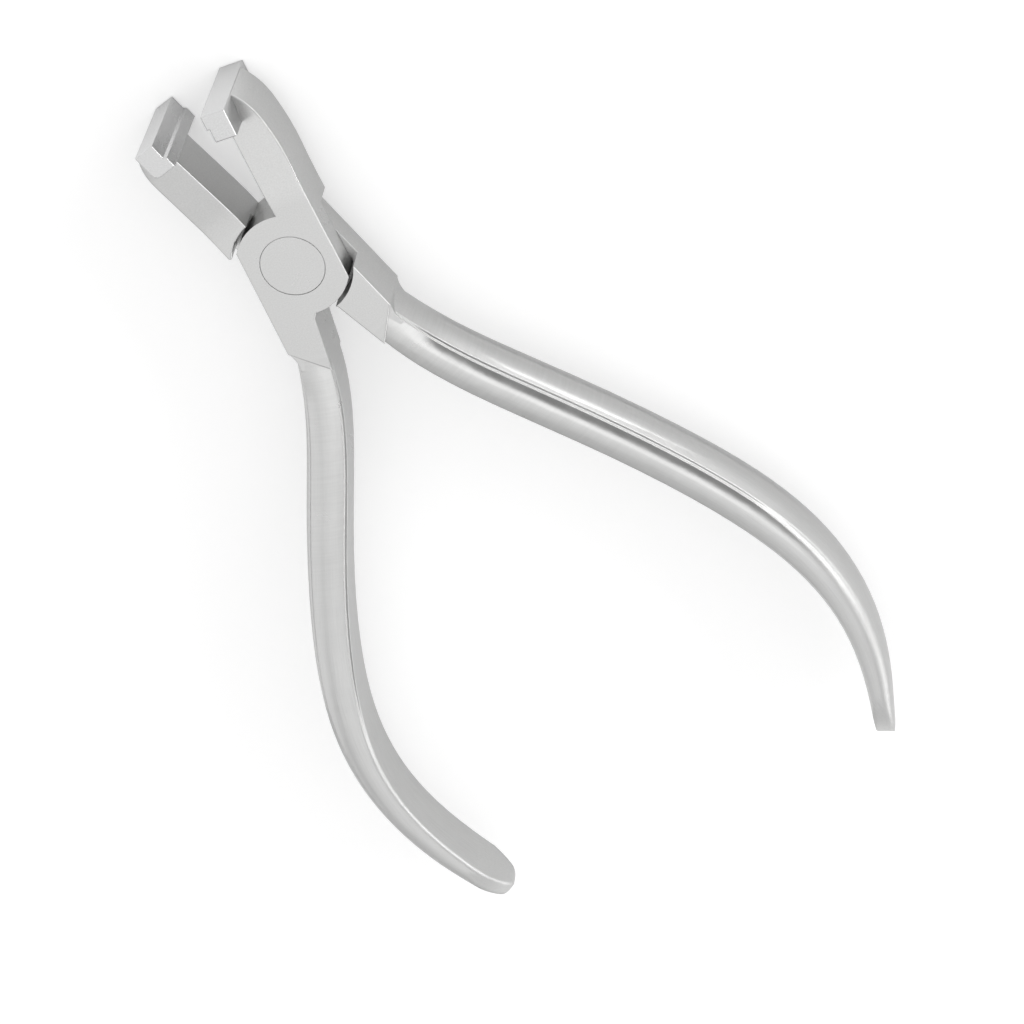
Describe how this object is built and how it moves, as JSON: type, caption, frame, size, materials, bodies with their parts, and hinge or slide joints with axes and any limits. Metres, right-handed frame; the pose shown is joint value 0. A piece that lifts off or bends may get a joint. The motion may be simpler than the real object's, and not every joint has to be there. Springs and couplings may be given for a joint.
{
  "type": "orthodontic pliers",
  "caption": "Steel orthodontic step pliers: crossing levers on a flush rivet, curved fluted handles, and stepped tip inserts for putting offset bends in wire.",
  "frame": {"origin": "on the pivot axis, in the flat back face of the lap joint", "axes": "+Z along the pivot axis from the rivet's tail to its head, +Y from the pivot towards the jaws, +X towards the hooked jaw"},
  "size_m": [0.0852, 0.1381, 0.0153],
  "materials": {
    "satin_steel": "fine satin, ground lengthways along arms and handles",
    "insert_steel": "finely ground hard insert",
    "rivet_steel": "ground flush, bare"
  },
  "bodies": {
    "rear_half": {"rear_lever": "satin_steel", "lip_tip_insert": "insert_steel", "pivot_rivet": "rivet_steel"},
    "front_half": {"front_lever": "satin_steel", "hook_tip_insert": "insert_steel"}
  },
  "joints": [
    {"name": "pivot", "type": "hinge", "parent": "rear_half", "child": "front_half", "pos_m": [0, 0, 0], "axis": [0, 0, 1], "range_deg": [-12, 18]}
  ]
}
